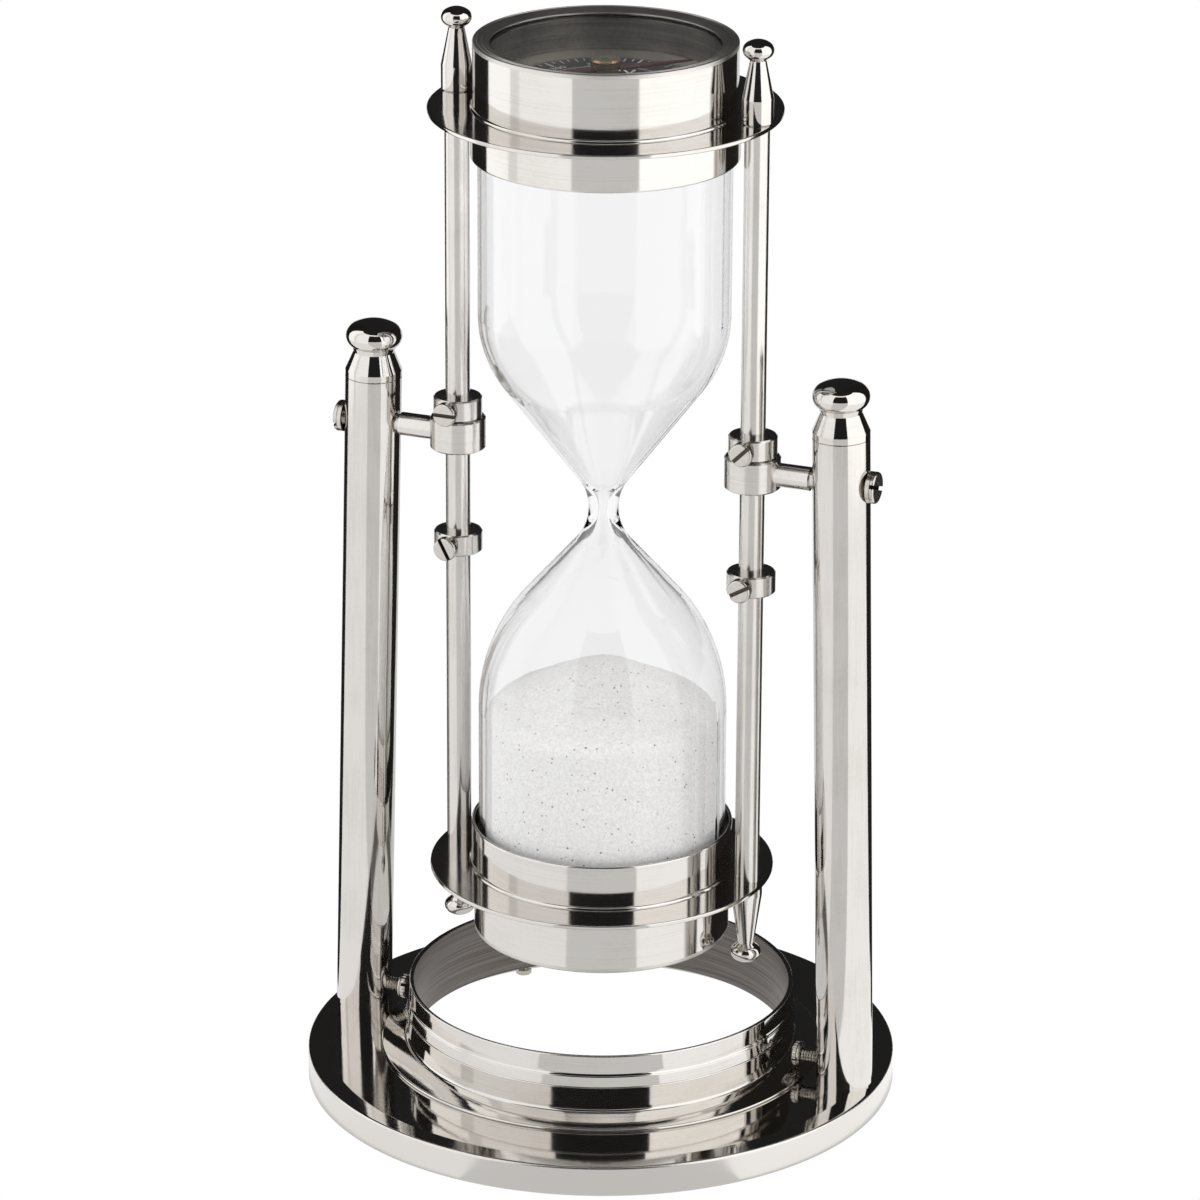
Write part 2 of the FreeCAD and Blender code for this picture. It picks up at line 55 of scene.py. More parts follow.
FLOOR_HALF = 6.0
FLOOR_DROP = 0.0001
PANEL_R = 0.62
CARD_R = 0.48
PANEL_LOW = 0.01
STUDIO_TOP = 1.35
BRIDGE_LOW = 0.98
BRIDGE_HALF_DEG = 29
LIT_GROUND_R = 0.084
BLACK_GROUND_R = 0.105
GROUND_REACH_R = 1.02
GROUND_DROP = 0.00005

# strengths of light
BRIDGE_LIGHT = 1.2
BLACK_LIGHT = 0.016
FLOOR_SEEN = 1.0
FLOOR_MIRRORED = 0.76
SKY_ON_MATT = 0.75
SKY_MIRRORED = 0.018
SKY_THROUGH_GLASS = 0.25

# softboxes: from, to (degrees from the camera, + is the picture's right) and strength
SOFTBOXES = {
    "softbox_left_outer": (-118, -88, 1.38),
    "softbox_left_strip": (-88, -78, 1.0),
    "softbox_left_inner": (-78, -28, 1.22),
    "softbox_right": (28, 104, 1.52),
}
BLACK_CARDS = {"card_left": (-152, -118), "card_right": (104, 152)}
# the table's sides are lit more than its front, which only the metal shows
LIT_GROUND = {"ground_left": (-118, -28, 1.04), "ground_right": (28, 104, 1.2)}

# ---- object sizes repeated from the CAD source, in metres ----------------
MIDDLE_Z = 0.1725
POST_TOP_X = 0.0685
ROD_X = 0.0432
DIAL_FACE_Z = 0.2867
HUB_CENTRE_Z = 0.2938
STOP_SLOT_Y = 0.00905
PIVOT_SLOT_X = 0.07791
SAND_R = 0.0324
SAND_LOW = 0.0684
SAND_CORNER = 0.0062
SAND_PEAK = 0.1238
SAND_SLOPE = math.tan(math.radians(27))

# bands of the turned parts that have a finish of their own, as radii; the bore bands also carry painted
# shade
CASE_BORE_BAND_R = 0.0312
COLLAR_BORE_BAND_R = 0.0530
RIM_BAND_R = 0.0822
RIM_BAND_END_R = 0.0900

# sand heap
SAND_BLUNT = 0.006
SAND_EDGE_W = 0.003
SAND_EDGE_DROP = 0.0022
SWELL_H = 0.0004
GRAIN_H = 0.00018

# dial print and jewel
DIAL_PRINT_R = 0.0267
PRINT_LIFT = 0.00004
TICK_THIRTY = 0.0042
TICK_TEN = 0.0030
TICK_FIVE = 0.0020
TICK_BOLD = 0.00055
TICK_FINE = 0.00034
NUMBER_SIZE = 0.0032
NUMBER_R = DIAL_PRINT_R - 0.0061
LETTER_SIZE = 0.0068
LETTER_R = DIAL_PRINT_R - 0.0125
PAIR_SIZE = 0.0042
PAIR_R = DIAL_PRINT_R - 0.0120
HOOP_R = DIAL_PRINT_R - 0.0084
HOOP_W = 0.0003
JEWEL_R = 0.00115
JEWEL_RISE = 0.00028

# ---- outlines of the turned parts, in millimetres as in the CAD source ---
BASE_R = 82.5
BASE_H = 9.0
BASE_HOLE_R = 56.0
BASE_SOFT = 0.3
SHEET = 2.0
EDGE_ROLL_W = 5.0
EDGE_ROLL_H = 0.4
EDGE_SOFT = 0.8
COLLAR_BORE_R = 52.7
COLLAR_TOP_R = 53.9
COLLAR_MID_R = 54.5
COLLAR_FOOT_R = 61.4
COLLAR_FOOT_H = 0.8
COLLAR_FILLET = 0.9
COLLAR_BEAD = 0.25
COLLAR_GROOVE = 0.12
COLLAR_WALL_Z = 12.6
COLLAR_STEP_Z = 19.2
COLLAR_FLARE_Z = 23.3
COLLAR_TOP_Z = 28.2
CAP_FACE_Z = 282.0
FLANGE_R = 47.8
FLANGE_T = 1.2
SOFT = 0.35
FOOT_BEAD = 0.7
CUP_R = 36.3
CUP_WALL = 1.0
CUP_DEPTH = 12.5
CASE_R = 35.6
CASE_H = 17.0
CASE_FLOOR = 2.0
CASE_BORE_R = 31.1
DIAL_SEAT_H = 3.7
DIAL_LEDGE_W = 2.1
LENS_SEAT_R = 33.05
LENS_T = 1.6
BEZEL_T = 1.2


# ---- node helpers -------------------------------------------------------
def new_material(name):
    """Empty node material; returns it with its tree and Principled shader."""
    mat = bpy.data.materials.new(name)
    mat.use_nodes = True
    tree = mat.node_tree
    tree.nodes.clear()
    out = tree.nodes.new("ShaderNodeOutputMaterial")
    shader = tree.nodes.new("ShaderNodeBsdfPrincipled")
    tree.links.new(shader.outputs["BSDF"], out.inputs["Surface"])
    return mat, tree, shader


def add(tree, kind, **props):
    """New shader node of a kind, with its properties set."""
    node = tree.nodes.new("ShaderNode" + kind)
    for key, value in props.items():
        setattr(node, key, value)
    return node


def put(tree, socket, value):
    """Link an output to a socket, or set the socket's own value."""
    if isinstance(value, bpy.types.NodeSocket):
        tree.links.new(value, socket)
    else:
        socket.default_value = value


def maths(tree, operation, a, b=0.0):
    node = add(tree, "Math", operation=operation)
    put(tree, node.inputs[0], a)
    put(tree, node.inputs[1], b)
    return node.outputs[0]


def remap(tree, value, low, high, to_low, to_high):
    node = add(tree, "MapRange", clamp=True)
    put(tree, node.inputs["Value"], value)
    node.inputs["From Min"].default_value = low
    node.inputs["From Max"].default_value = high
    node.inputs["To Min"].default_value = to_low
    node.inputs["To Max"].default_value = to_high
    return node.outputs["Result"]


def blend_colour(tree, factor, a, b):
    node = add(tree, "Mix", data_type="RGBA")
    put(tree, node.inputs["Factor"], factor)
    put(tree, node.inputs["A"], a)
    put(tree, node.inputs["B"], b)
    return node.outputs["Result"]


def position(tree):
    """Object coordinates split into x, y and z."""
    coords = add(tree, "TexCoord")
    split = add(tree, "SeparateXYZ")
    tree.links.new(coords.outputs["Object"], split.inputs[0])
    return coords.outputs["Object"], split.outputs


def radius_from(tree, xyz, axis_x=0.0):
    """Distance from a vertical axis at (axis_x, 0)."""
    dx = maths(tree, "SUBTRACT", xyz[0], axis_x)
    squares = maths(tree, "ADD", maths(tree, "MULTIPLY", dx, dx), maths(tree, "MULTIPLY", xyz[1], xyz[1]))
    return maths(tree, "SQRT", squares)


def noise_at(tree, vector, scale, detail=2.0, roughness=0.5):
    node = add(tree, "TexNoise")
    put(tree, node.inputs["Vector"], vector)
    node.inputs["Scale"].default_value = scale
    node.inputs["Detail"].default_value = detail
    node.inputs["Roughness"].default_value = roughness
    return node.outputs["Fac"]


def bump(tree, shader, height, strength, distance):
    node = add(tree, "Bump")
    node.inputs["Strength"].default_value = strength
    node.inputs["Distance"].default_value = distance
    put(tree, node.inputs["Height"], height)
    tree.links.new(node.outputs["Normal"], shader.inputs["Normal"])
    return node


def between(tree, value, low, high, soft=0.0001):
    """1 where value lies between low and high, 0 elsewhere."""
    rise = remap(tree, value, low - soft, low + soft, 0.0, 1.0)
    fall = remap(tree, value, high - soft, high + soft, 1.0, 0.0)
    return maths(tree, "MULTIPLY", rise, fall)


def mix_value(tree, factor, a, b):
    """a where the factor is 0, b where it is 1."""
    node = add(tree, "Mix", data_type="FLOAT")
    put(tree, node.inputs["Factor"], factor)
    put(tree, node.inputs["A"], a)
    put(tree, node.inputs["B"], b)
    return node.outputs["Result"]


# ---- materials ----------------------------------------------------------
NICKEL = (0.685, 0.662, 0.632, 1)
NICKEL_WORN = (0.575, 0.545, 0.505, 1)
# brushed nickel inside the compass cases, and darker as painted shade in the recess
BRUSHED_BORE_SHADE = (0.46, 0.42, 0.38, 1)
# painted shade: dark colour on the inside of the base collar's bore
BORE_SHADE = (0.125, 0.110, 0.097, 1)
SCREW_STEEL = (0.66, 0.64, 0.60, 1)
SCREW_STEEL_WORN = (0.50, 0.47, 0.43, 1)
# painted shade: the dark colour laid on the floor of a screw's slot
SLOT_SHADE = (0.07, 0.06, 0.05, 1)

# noise cells per metre: round a turned part, and across and along a drawn one
AROUND_PER_M = 18
ACROSS_PER_M = 1100
ALONG_PER_M = 60


def turned_metal(name, colour, worn, rough=(0.05, 0.12), line=0.08, axis_x=0.0, lines_per_m=2600,
                 zone=None, drawn=False):
    """Plated metal with fine lines running round a vertical axis, as a lathe leaves them.

    rough is the least and greatest roughness, and line the strength of the lines.
    drawn runs the lines up and down instead, as on drawn tube and rod.
    zone is (low, high, roughness, colour, line strength): a band of radius with its own finish; in the bores
    its colour is painted shade.
    """
    mat, tree, shader = new_material(name)
    where, xyz = position(tree)
    r = radius_from(tree, xyz, axis_x)
    along = maths(tree, "MULTIPLY", maths(tree, "ADD", xyz[2], r), lines_per_m)
    lathe_space = add(tree, "CombineXYZ")
    across = ACROSS_PER_M if drawn else AROUND_PER_M
    put(tree, lathe_space.inputs[0], maths(tree, "MULTIPLY", xyz[0], across))
    put(tree, lathe_space.inputs[1], maths(tree, "MULTIPLY", xyz[1], across))
    if drawn:
        along = maths(tree, "MULTIPLY", xyz[2], ALONG_PER_M)
    put(tree, lathe_space.inputs[2], along)
    lines = noise_at(tree, lathe_space.outputs[0], 1.0, 4.0, 0.6)
    smears = noise_at(tree, where, 55.0, 3.0)
    specks = noise_at(tree, where, 900.0, 2.0)
    stain = maths(tree, "ADD", maths(tree, "MULTIPLY", smears, 0.7), maths(tree, "MULTIPLY", specks, 0.2))
    stain = maths(tree, "ADD", stain, maths(tree, "MULTIPLY", lines, 0.65))
    surface = blend_colour(tree, remap(tree, stain, 0.72, 1.0, 0.0, 0.6), colour, worn)
    rough_mix = maths(tree, "ADD", maths(tree, "MULTIPLY", smears, 0.6), maths(tree, "MULTIPLY", lines, 0.4))
    roughness = remap(tree, rough_mix, 0.3, 0.7, rough[0], rough[1])
    shader.inputs["Metallic"].default_value = 1.0
    node = bump(tree, shader, lines, line, 0.00005)
    if zone:
        low, high, zone_rough, zone_colour, zone_line = zone
        mask = between(tree, r, low, high)
        streak = blend_colour(tree, remap(tree, lines, 0.35, 0.65, 0.0, 1.0), zone_colour, colour)
        surface = blend_colour(tree, mask, surface, blend_colour(tree, 0.22, zone_colour, streak))
        roughness = mix_value(tree, mask, roughness, zone_rough)
        put(tree, node.inputs["Strength"], mix_value(tree, mask, line, zone_line))
    put(tree, shader.inputs["Base Color"], surface)
    put(tree, shader.inputs["Roughness"], roughness)
    return mat


def glass_material(name, ior, colour):
    """Clear glass with a faint waviness."""
    mat, tree, shader = new_material(name)
    where, _ = position(tree)
    waves = noise_at(tree, where, 30.0, 1.0)
    shader.inputs["Base Color"].default_value = colour
    shader.inputs["Transmission Weight"].default_value = 1.0
    shader.inputs["IOR"].default_value = ior
    put(tree, shader.inputs["Roughness"], remap(tree, waves, 0.3, 0.7, 0.0, 0.004))
    bump(tree, shader, waves, 0.05, 0.0004)
    return mat


def sand_material():
    """White quartz sand with a few dark and rusty grains."""
    mat, tree, shader = new_material("white_sand")
    where, _ = position(tree)
    grains = add(tree, "TexVoronoi", feature="F1")
    put(tree, grains.inputs["Vector"], where)
    grains.inputs["Scale"].default_value = 2400.0
    tint = remap(tree, noise_at(tree, where, 1300.0, 3.0, 0.7), 0.35, 0.62, 0.0, 1.0)
    pale = blend_colour(tree, tint, (0.80, 0.79, 0.775, 1), (0.97, 0.965, 0.96, 1))
    sparse = add(tree, "TexVoronoi", feature="F1")
    put(tree, sparse.inputs["Vector"], where)
    sparse.inputs["Scale"].default_value = 680.0
    pick = add(tree, "SeparateXYZ")
    tree.links.new(sparse.outputs["Color"], pick.inputs[0])
    size = remap(tree, pick.outputs[0], 0.25, 1.0, 0.0, 0.19)
    speck = maths(tree, "LESS_THAN", sparse.outputs["Distance"], size)
    grain = blend_colour(tree, maths(tree, "GREATER_THAN", pick.outputs[1], 0.72),
                         (0.10, 0.09, 0.085, 1), (0.33, 0.12, 0.08, 1))
    put(tree, shader.inputs["Base Color"], blend_colour(tree, speck, pale, grain))
    shader.inputs["Roughness"].default_value = 0.8
    bump(tree, shader, grains.outputs["Distance"], 0.35, 0.0002)
    return mat


def painted(name, colour, colour_b, rough, grain=1200.0, strength=0.08, metal=0.0):
    """Fine-grained finish between two colours, with a slight relief."""
    mat, tree, shader = new_material(name)
    where, _ = position(tree)
    grainy = noise_at(tree, where, grain, 3.0, 0.6)
    put(tree, shader.inputs["Base Color"], blend_colour(tree, grainy, colour, colour_b))
    put(tree, shader.inputs["Roughness"], remap(tree, grainy, 0.3, 0.7, rough - 0.05, rough + 0.08))
    shader.inputs["Metallic"].default_value = metal
    bump(tree, shader, grainy, strength, 0.00005)
    return mat


def slotted(name, axis, floor, depth=0.00008):
    """Screw metal with painted shade on the floor of the slot, which lies at that distance along an axis."""
    mat = painted(name, SCREW_STEEL, SCREW_STEEL_WORN, 0.22, metal=1.0)
    tree = mat.node_tree
    shader = tree.nodes["Principled BSDF"]
    _, xyz = position(tree)
    away = maths(tree, "ABSOLUTE", xyz[axis])
    # painted shade darkens the floor of the slot
    slot_shade = between(tree, away, floor - depth, floor + depth, 0.00003)
    clean = shader.inputs["Base Color"].links[0].from_socket
    put(tree, shader.inputs["Base Color"], blend_colour(tree, slot_shade, clean, SLOT_SHADE))
    return mat


def case_bore_metal():
    """Brushed inner wall of a compass case, which smears what it mirrors up and down; its dark colour is
    painted shade in the recess.
    """
    # the dark colours of the wall are painted shade inside the case
    mat = turned_metal("case_bore_nickel", (0.17, 0.15, 0.135, 1), (0.42, 0.39, 0.35, 1),
                       rough=(0.24, 0.34), line=1.0, lines_per_m=1100)
    tree = mat.node_tree
    shader = tree.nodes["Principled BSDF"]
    shader.inputs["Anisotropic"].default_value = 0.85
    shader.inputs["Anisotropic Rotation"].default_value = 0.25
    put(tree, shader.inputs["Tangent"], add(tree, "Tangent", direction_type="RADIAL", axis="Z").outputs[0])
    return mat


def emission_material(name, strength, colour=(1, 1, 1, 1)):
    """Evenly glowing material for the studio."""
    mat = bpy.data.materials.new(name)
    mat.use_nodes = True
    tree = mat.node_tree
    tree.nodes.clear()
    out = tree.nodes.new("ShaderNodeOutputMaterial")
    glow = tree.nodes.new("ShaderNodeEmission")
    glow.inputs["Color"].default_value = colour
    glow.inputs["Strength"].default_value = strength
    tree.links.new(glow.outputs[0], out.inputs["Surface"])
    return mat


def give(material, *names):
    """Make a material the only one of each named CAD node."""
    for name in names:
        slots = nodes[name].data.materials
        slots.clear()
        slots.append(material)


def sides(*names):
    """Node names of the left and right of each part."""
    return [name + side for name in names for side in ("_left", "_right")]


def ends(*names):
    """Node names of the top and bottom of each part."""
    return [name + end for name in names for end in ("_top", "_bottom")]


def finish_tubes_and_turnings():
    """Materials of the posts, rods and what sits on them, which have lines about their own axes."""
    for side, sign in (("_left", -1), ("_right", 1)):
        give(turned_metal("post_nickel" + side, NICKEL, NICKEL_WORN, rough=(0.06, 0.13), line=0.10,
                          drawn=True), "post" + side)
        give(turned_metal("knob_nickel" + side, NICKEL, NICKEL_WORN, rough=(0.03, 0.08), line=0.05,
                          axis_x=sign * POST_TOP_X), "post_cap" + side)
        give(turned_metal("rod_nickel" + side, NICKEL, NICKEL_WORN, rough=(0.12, 0.24), line=0.25,
                          drawn=True), "rod" + side)
        give(turned_metal("sleeve_nickel" + side, NICKEL, NICKEL_WORN, rough=(0.12, 0.24), line=0.2,
                          axis_x=sign * ROD_X, lines_per_m=1400),
             "trunnion" + side, "stop_collar_upper" + side, "stop_collar_lower" + side)
        give(turned_metal("finial_nickel" + side, NICKEL, NICKEL_WORN, rough=(0.06, 0.14),
                          axis_x=sign * ROD_X), "finial_upper" + side, "finial_lower" + side)


def finish_screws():
    plain = painted("screw_nickel", SCREW_STEEL, SCREW_STEEL_WORN, 0.22, metal=1.0)
    give(plain, "collar_screws", "post_foot_screws", *sides("post_set_screw"),
         *ends("case_screws", "pivot_pin"))
    give(slotted("stop_screw_nickel", 1, STOP_SLOT_Y), *sides("stop_screw_upper", "stop_screw_lower"))
    give(slotted("pivot_screw_nickel", 0, PIVOT_SLOT_X), *sides("pivot_screw"))


def finish_glass():
    """Bulb and lenses: clear, and they shade nothing behind them."""
    give(glass_material("blown_glass", 1.40, (0.945, 0.945, 0.950, 1)), "glass_bulb")
    give(glass_material("lens_glass", 1.20, (0.98, 0.98, 0.98, 1)), *ends("lens"))
    for name in ["glass_bulb"] + ends("lens"):
        hide_from(nodes[name], "diffuse", "shadow")


def finish_small_parts():
    give(painted("felt", (0.10, 0.10, 0.09, 1), (0.20, 0.19, 0.18, 1), 0.9, 2500.0, 0.6),
         *ends("seat_pad"))
    give(painted("stopper", (0.10, 0.10, 0.10, 1), (0.16, 0.16, 0.15, 1), 0.7), "glass_stopper")
    give(painted("plug", (0.60, 0.60, 0.60, 1), (0.5, 0.5, 0.5, 1), 0.4), *sides("post_plug"))
    give(painted("dial_black", (0.010, 0.010, 0.011, 1), (0.028, 0.027, 0.026, 1), 0.4), *ends("dial"))
    give(turned_metal("dial_ring_metal", (0.62, 0.60, 0.57, 1), (0.45, 0.43, 0.40, 1),
                      rough=(0.25, 0.4)), *ends("dial_ring"))
    give(turned_metal("hub_brass", (0.52, 0.38, 0.22, 1), (0.34, 0.24, 0.14, 1),
                      rough=(0.18, 0.32), line=0.3), *ends("needle_hub"))
    give(painted("needle_red", (0.085, 0.010, 0.010, 1), (0.04, 0.006, 0.007, 1), 0.3),
         *ends("needle"))


def hide_from(piece, *rays):
    """Make a piece invisible to some kinds of ray."""
    for ray in rays:
        setattr(piece, "visible_" + ray, False)


finish_tubes_and_turnings()
finish_screws()
finish_glass()
finish_small_parts()

# materials of the added pieces
# the band inside the case bore has a brushed finish and is darkened with painted shade
cap_metal = turned_metal("cap_nickel", NICKEL, NICKEL_WORN, rough=(0.05, 0.13),
                         zone=(0.0, CASE_BORE_BAND_R, 0.30, BRUSHED_BORE_SHADE, 1.0))
bore_metal = case_bore_metal()
bezel_metal = turned_metal("bezel_nickel", NICKEL, NICKEL_WORN, rough=(0.34, 0.48), line=0.5)
plate_metal = turned_metal("plate_nickel", NICKEL, NICKEL_WORN, rough=(0.03, 0.08), line=0.05,
                           zone=(RIM_BAND_R, RIM_BAND_END_R, 0.26, NICKEL, 0.3))
# the bore band of the collar is darkened with painted shade
collar_metal = turned_metal("collar_nickel", NICKEL, NICKEL_WORN, rough=(0.03, 0.09), line=0.08,
                            zone=(0.0, COLLAR_BORE_BAND_R, 0.36, BORE_SHADE, 0.12))
white_print = painted("dial_white", (0.78, 0.77, 0.74, 1), (0.60, 0.59, 0.56, 1), 0.5)
jewel_green = painted("jewel_green", (0.010, 0.055, 0.035, 1), (0.020, 0.10, 0.06, 1), 0.08)


# ---- added pieces -------------------------------------------------------
def new_piece(name, bm, material, body, smooth=False):
    """Visible piece from a bmesh, which rides on a body."""
    mesh = bpy.data.meshes.new(name)
    bm.to_mesh(mesh)
    bm.free()
    mesh.materials.append(material)
    if smooth:
        mesh.shade_smooth()
    piece = bpy.data.objects.new(name, mesh)
    bpy.context.scene.collection.objects.link(piece)
    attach(piece, body)
    return piece


def turned_mesh(bm, profile, steps):
    """Surface turned about Z from (r, z) points; the ends may lie on the axis."""
    rings = []
    for r, z in profile:
        if r < 1e-7:
            rings.append([bm.verts.new((0, 0, z))])
        else:
            turns = [2 * math.pi * i / steps for i in range(steps)]
            rings.append([bm.verts.new((r * math.cos(t), r * math.sin(t), z)) for t in turns])
    for low, high in zip(rings, rings[1:]):
        for i in range(steps):
            k = (i + 1) % steps
            if len(low) == 1:
                bm.faces.new((low[0], high[i], high[k]))
            elif len(high) == 1:
                bm.faces.new((low[i], low[k], high[0]))
            else:
                bm.faces.new((low[i], low[k], high[k], high[i]))


def arc(centre_r, centre_z, radius, deg0, deg1, steps=6):
    """Points along an arc in the (r, z) plane."""
    turns = [math.radians(deg0 + (deg1 - deg0) * i / steps) for i in range(steps + 1)]
    return [(centre_r + radius * math.cos(t), centre_z + radius * math.sin(t)) for t in turns]


def supported(outline, closed, gap=0.12):
    """The outline with a point just inside both ends of each long side, to keep flats flat."""
    path = outline + outline[:1] if closed else outline
    out = []
    for (r0, z0), (r1, z1) in zip(path, path[1:]):
        out.append((r0, z0))
        length = math.hypot(r1 - r0, z1 - z0)
        if length > 5 * gap:
            for f in (gap / length, 1 - gap / length):
                out.append((r0 + (r1 - r0) * f, z0 + (z1 - z0) * f))
    return out + path[-1:]


def turned_piece(node, outline, material, body, under=False, steps=256):
    """Finely turned body for a CAD node, from an outline in millimetres.

    An outline that starts on the axis also ends there; any other is closed.
    """
    bm = bmesh.new()
    points = supported(outline, closed=outline[0][0] > 0)
    turned_mesh(bm, [(r * MM, z * MM) for r, z in points], steps)
    bmesh.ops.remove_doubles(bm, verts=bm.verts[:], dist=1e-7)
    bmesh.ops.recalc_face_normals(bm, faces=bm.faces[:])
    if under:
        bmesh.ops.transform(bm, matrix=turned_over(), verts=bm.verts[:])
    piece = new_piece(node + "_turned", bm, material, body, smooth=True)
    piece.data.set_sharp_from_angle(angle=math.radians(50))
    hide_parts(node)
    return piece


def plate_outline():
    edge_z = BASE_H - EDGE_ROLL_H
    return ([(BASE_HOLE_R, BASE_H), (BASE_R - EDGE_ROLL_W, BASE_H)]
            + arc(BASE_R - EDGE_SOFT, edge_z - EDGE_SOFT, EDGE_SOFT, 90, 0, 8)
            + [(BASE_R, BASE_SOFT), (BASE_R - BASE_SOFT, 0), (BASE_R - SHEET, 0),
               (BASE_R - SHEET, BASE_H - SHEET), (BASE_HOLE_R, BASE_H - SHEET)])


def collar_outline():
    foot = COLLAR_FOOT_H / 2
    flare = (COLLAR_MID_R - COLLAR_TOP_R - 0.1) / (COLLAR_FLARE_Z - COLLAR_STEP_Z)
    grooves = []
    for z in (COLLAR_FLARE_Z - 1.2, COLLAR_FLARE_Z - 0.5):
        r = COLLAR_TOP_R + (COLLAR_FLARE_Z - z) * flare
        grooves += [(r, z - COLLAR_GROOVE), (r - COLLAR_GROOVE, z), (r, z + COLLAR_GROOVE)]
    return ([(COLLAR_BORE_R, BASE_H), (COLLAR_FOOT_R, BASE_H)]
            + arc(COLLAR_FOOT_R, BASE_H + foot, foot, -90, 90, 8)
            + arc(COLLAR_MID_R + COLLAR_FILLET, COLLAR_WALL_Z, COLLAR_FILLET, 270, 180)
            + arc(COLLAR_MID_R, COLLAR_STEP_Z - COLLAR_BEAD, COLLAR_BEAD, -90, 90)
            + [(COLLAR_MID_R - 0.1, COLLAR_STEP_Z)] + grooves + [(COLLAR_TOP_R, COLLAR_FLARE_Z)]
            + arc(COLLAR_TOP_R - SOFT, COLLAR_TOP_Z - SOFT, SOFT, 0, 90)
            + [(COLLAR_BORE_R + 0.4, COLLAR_TOP_Z), (COLLAR_BORE_R, COLLAR_TOP_Z - 0.4)])


def flange_outline():
    low = CAP_FACE_Z - FLANGE_T
    return ([(0, low)] + arc(FLANGE_R - SOFT, low + SOFT, SOFT, -90, 0)
            + arc(FLANGE_R - SOFT, CAP_FACE_Z - SOFT, SOFT, 0, 90) + [(0, CAP_FACE_Z)])


def cup_outline():
    top = CAP_FACE_Z - FLANGE_T
    lip = CUP_WALL / 2
    return ([(0, top)] + arc(CUP_R, top, FOOT_BEAD, 0, -90)
            + arc(CUP_R - lip, top - CUP_DEPTH + lip, lip, 0, -180, 10)
            + [(CUP_R - CUP_WALL, top - CUP_WALL), (0, top - CUP_WALL)])


def case_outline():
    top = CAP_FACE_Z + CASE_H
    floor = CAP_FACE_Z + CASE_FLOOR
    dial_seat = CAP_FACE_Z + DIAL_SEAT_H
    ledge_r = CASE_BORE_R - DIAL_LEDGE_W
    return [(0, CAP_FACE_Z)] + arc(CASE_R, CAP_FACE_Z, FOOT_BEAD, 0, 90) + [
        (CASE_R, top), (LENS_SEAT_R, top), (LENS_SEAT_R, top - LENS_T), (CASE_BORE_R, top - LENS_T),
        (CASE_BORE_R, dial_seat), (ledge_r, dial_seat), (ledge_r, floor), (0, floor)]


def bezel_outline():
    """Ring over the lens: a groove on its flat top, a step and a bead on its dished inside."""
    low = CAP_FACE_Z + CASE_H
    top = low + BEZEL_T
    return [(CASE_BORE_R, low), (CASE_R, low)] + arc(CASE_R - SOFT, top - SOFT, SOFT, 0, 90) + [
        (CASE_R - 0.8, top), (CASE_R - 0.9, top - 0.15), (CASE_R - 1.1, top - 0.15), (CASE_R - 1.2, top),
        (CASE_R - 1.6, top), (CASE_R - 2.0, top - SOFT), (CASE_R - 2.4, top - SOFT),
        (CASE_R - 2.5, top - 0.22), (CASE_R - 2.8, top - 0.25), (CASE_BORE_R, low + 0.3)]


def build_turned_parts():
    turned_piece("base_plate", plate_outline(), plate_metal, "stand", steps=320)
    turned_piece("base_collar", collar_outline(), collar_metal, "stand", steps=320)
    for end, under in (("_top", False), ("_bottom", True)):
        turned_piece("flange" + end, flange_outline(), cap_metal, "cage", under)
        turned_piece("glass_cup" + end, cup_outline(), cap_metal, "cage", under)
        case = turned_piece("compass_case" + end, case_outline(), cap_metal, "cage", under)
        # the case's bore takes the wall material darkened with painted shade
        case.data.materials.append(bore_metal)
        for face in case.data.polygons:
            if math.hypot(face.center.x, face.center.y) < CASE_BORE_BAND_R:
                face.material_index = 1
        turned_piece("bezel" + end, bezel_outline(), bezel_metal, "cage", under)


def sand_height(r):
    """Side of the heap at a radius: blunt on top, a steady slope, eased in at the glass."""
    fall = SAND_SLOPE * (math.hypot(r, SAND_BLUNT) - SAND_BLUNT)
    edge = max(0.0, (r - (SAND_R - SAND_EDGE_W)) / SAND_EDGE_W)
    return SAND_PEAK - fall - SAND_EDGE_DROP * edge * edge


def build_sand():
    """Heap of loose sand in the lower bulb, with a grainy, slightly uneven surface."""
    bm = bmesh.new()
    wall_low = SAND_LOW + SAND_CORNER
    top = sand_height(SAND_R)
    profile = [(0.0, SAND_LOW)] + arc(SAND_R - SAND_CORNER, wall_low, SAND_CORNER, -90, 0, 8)
    profile += [(SAND_R, wall_low + (top - wall_low) * i / 40) for i in range(1, 41)]
    profile += [(SAND_R * (1 - i / 110), sand_height(SAND_R * (1 - i / 110))) for i in range(1, 110)]
    profile.append((0.0, SAND_PEAK))
    turned_mesh(bm, profile, 260)
    for v in bm.verts:
        swell = noise.noise(v.co * 90) * SWELL_H
        grain = noise.noise(v.co * 900 + Vector((SEED, 0, 0))) * GRAIN_H
        out = Vector((v.co.x, v.co.y, 0))
        free = min(1.0, max(0.0, (v.co.z - wall_low) / 0.01))
        if out.length > SAND_R - 0.0002 and v.co.z < top:
            v.co -= out.normalized() * max(0.0, grain) * 1.5
        else:
            v.co.z += (swell + grain) * free
    heap = new_piece("sand_heap", bm, sand_material(), "cage", smooth=True)
    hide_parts("sand")


